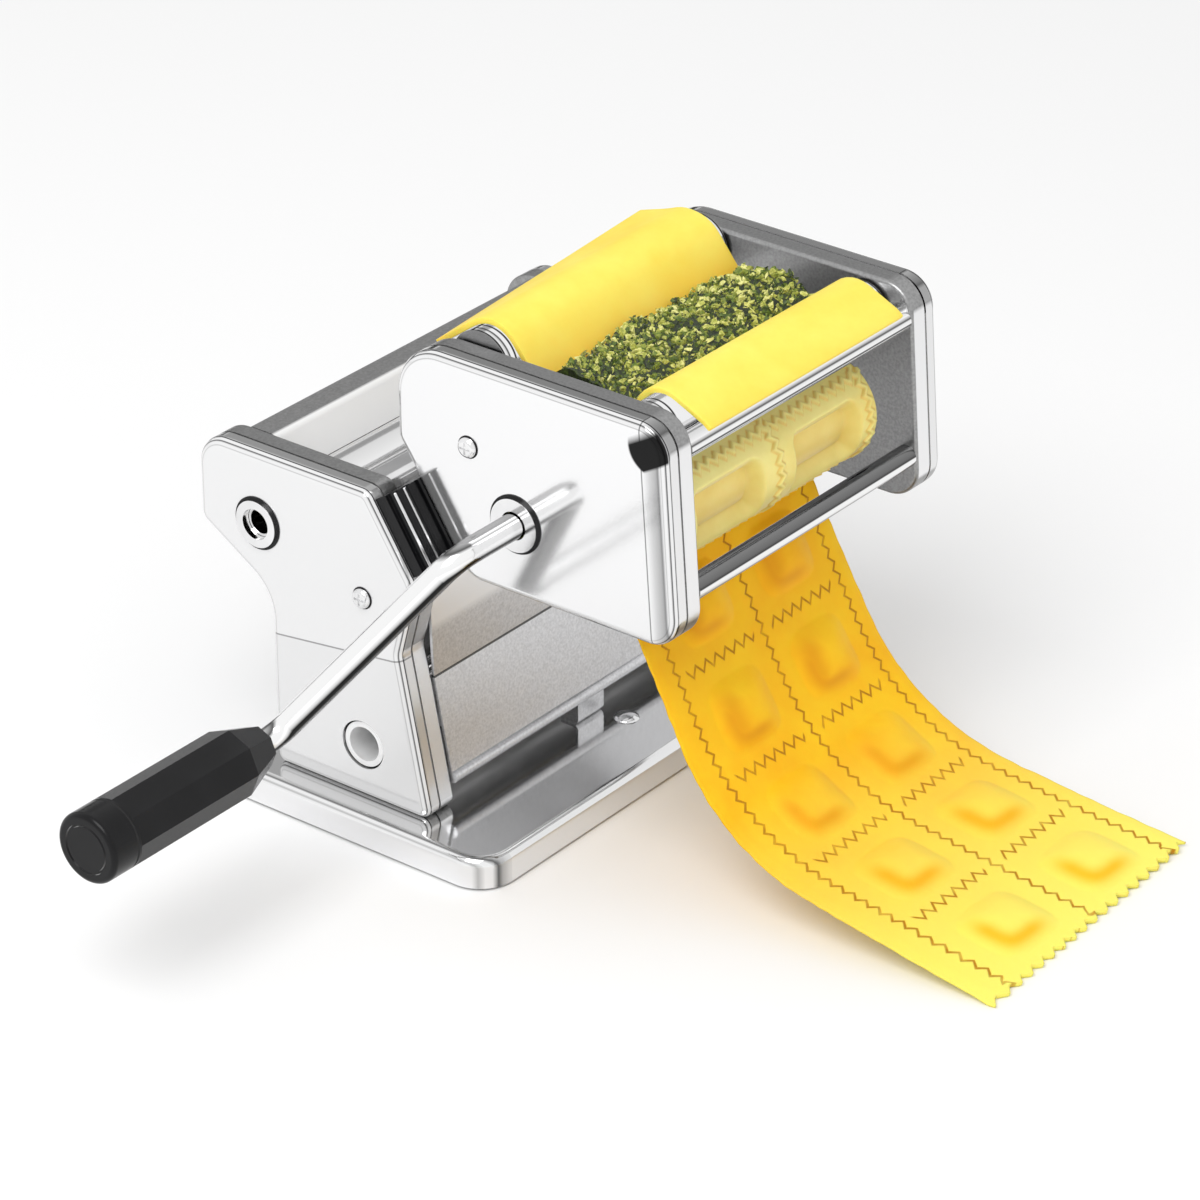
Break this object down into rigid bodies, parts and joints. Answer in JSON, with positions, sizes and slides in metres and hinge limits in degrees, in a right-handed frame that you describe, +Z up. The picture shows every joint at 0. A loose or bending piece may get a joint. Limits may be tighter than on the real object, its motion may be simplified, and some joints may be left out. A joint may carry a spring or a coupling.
{
  "type": "ravioli maker",
  "caption": "Hand-cranked pasta roller body with a docked ravioli attachment: dough sheets, filling and a filled pillow strip leaving the moulding rollers.",
  "frame": {"origin": "centre of the flat resting face under the base", "axes": "+X along the rollers away from the crank, -Y towards the front where the strip comes out, +Z up"},
  "size_m": [0.3708, 0.3331, 0.2072],
  "materials": {
    "polished_steel": "polished",
    "plain_steel": "satin",
    "roller_steel": "ground",
    "nylon": "matte",
    "mat_rubber": "matte",
    "black_plastic": "gloss",
    "cream_plastic": "satin",
    "feed_plastic": "satin",
    "dough": "soft matte",
    "filling": "moist"
  },
  "bodies": {
    "body": {"base_shell": "polished_steel", "base_mat": "mat_rubber", "side_cover_left": "polished_steel", "side_cover_right": "polished_steel", "side_frame_left": "plain_steel", "side_frame_right": "plain_steel", "rear_feed_plate": "polished_steel", "rear_apron": "polished_steel", "front_apron": "polished_steel", "front_guard": "polished_steel", "rear_scraper": "nylon", "front_scraper": "nylon", "tie_rods": "plain_steel", "clamp_tube": "plain_steel", "cover_screws": "plain_steel", "drive_roller_bushes": "nylon", "crank_socket_ring": "polished_steel", "dock_rail_left": "black_plastic", "dock_rail_right": "black_plastic"},
    "drive_roller": {"drive_roller": "roller_steel", "drive_gear": "plain_steel"},
    "roller_carriage": {"adjust_roller_bushes": "nylon"},
    "adjust_roller": {"adjust_roller": "roller_steel", "adjust_gear": "plain_steel"},
    "regulator_shaft": {"regulator_shaft": "polished_steel"},
    "regulator_knob": {"regulator_knob": "black_plastic"},
    "attachment": {"attachment_cover_left": "polished_steel", "attachment_cover_right": "polished_steel", "attachment_frame_left": "plain_steel", "attachment_frame_right": "plain_steel", "dock_bracket_left": "black_plastic", "dock_bracket_right": "black_plastic", "hub_ring": "polished_steel", "upper_front_bar": "plain_steel", "lower_front_bar": "plain_steel", "back_bar": "plain_steel", "attachment_screws": "plain_steel", "rear_dough_sheet": "dough", "front_dough_sheet": "dough", "filling": "filling", "ravioli_strip": "dough"},
    "rear_mould": {"rear_mould_roller": "cream_plastic", "rear_mould_gear": "cream_plastic"},
    "front_mould": {"front_mould_roller": "cream_plastic", "front_mould_gear": "cream_plastic"},
    "rear_feed": {"rear_feed_roller": "feed_plastic"},
    "front_feed": {"front_feed_roller": "feed_plastic"},
    "crank": {"crank_rod": "plain_steel", "grip_cap": "black_plastic"},
    "crank_grip": {"crank_grip": "black_plastic"}
  },
  "joints": [
    {"name": "drive_roller_spin", "type": "hinge", "parent": "body", "child": "drive_roller", "pos_m": [0, 0.0503, 0.1145], "axis": [1, 0, 0], "continuous": true},
    {"name": "roller_gap_slide", "type": "slide", "parent": "body", "child": "roller_carriage", "axis": [0, 0.8443, -0.5358], "range_m": [0, 0.0015]},
    {"name": "adjust_roller_spin", "type": "hinge", "parent": "roller_carriage", "child": "adjust_roller", "pos_m": [0, 0.02902, 0.128], "axis": [1, 0, 0], "continuous": true},
    {"name": "regulator_turn", "type": "hinge", "parent": "body", "child": "regulator_shaft", "pos_m": [0, 0.02902, 0.128], "axis": [1, 0, 0], "range_deg": [0, 270]},
    {"name": "regulator_pull", "type": "slide", "parent": "regulator_shaft", "child": "regulator_knob", "axis": [1, 0, 0], "range_m": [0, 0.003], "stiffness_N_per_m": 300, "springref_m": -0.002},
    {"name": "attachment_lift", "type": "slide", "parent": "body", "child": "attachment", "axis": [0, 0.5519, 0.8339], "range_m": [0, 0.045]},
    {"name": "rear_mould_spin", "type": "hinge", "parent": "attachment", "child": "rear_mould", "pos_m": [0, -0.06024, 0.1425], "axis": [1, 0, 0], "continuous": true},
    {"name": "front_mould_spin", "type": "hinge", "parent": "attachment", "child": "front_mould", "pos_m": [0, -0.10225, 0.15067], "axis": [1, 0, 0], "continuous": true},
    {"name": "rear_feed_spin", "type": "hinge", "parent": "attachment", "child": "rear_feed", "pos_m": [0, -0.03054, 0.1915], "axis": [1, 0, 0], "continuous": true},
    {"name": "front_feed_spin", "type": "hinge", "parent": "attachment", "child": "front_feed", "pos_m": [0, -0.10664, 0.1875], "axis": [1, 0, 0], "continuous": true},
    {"name": "crank_pull_out", "type": "slide", "parent": "rear_mould", "child": "crank", "axis": [-1, 0, 0], "range_m": [0, 0.02]},
    {"name": "grip_spin", "type": "hinge", "parent": "crank", "child": "crank_grip", "pos_m": [0, -0.00524, 0.0675], "axis": [1, 0, 0], "continuous": true}
  ],
  "couplings": [
    {"joint": "adjust_roller_spin", "follows": "drive_roller_spin", "ratio": -1},
    {"joint": "front_mould_spin", "follows": "rear_mould_spin", "ratio": -1},
    {"joint": "regulator_turn", "follows": "roller_gap_slide", "rad_per_m": 3140}
  ]
}
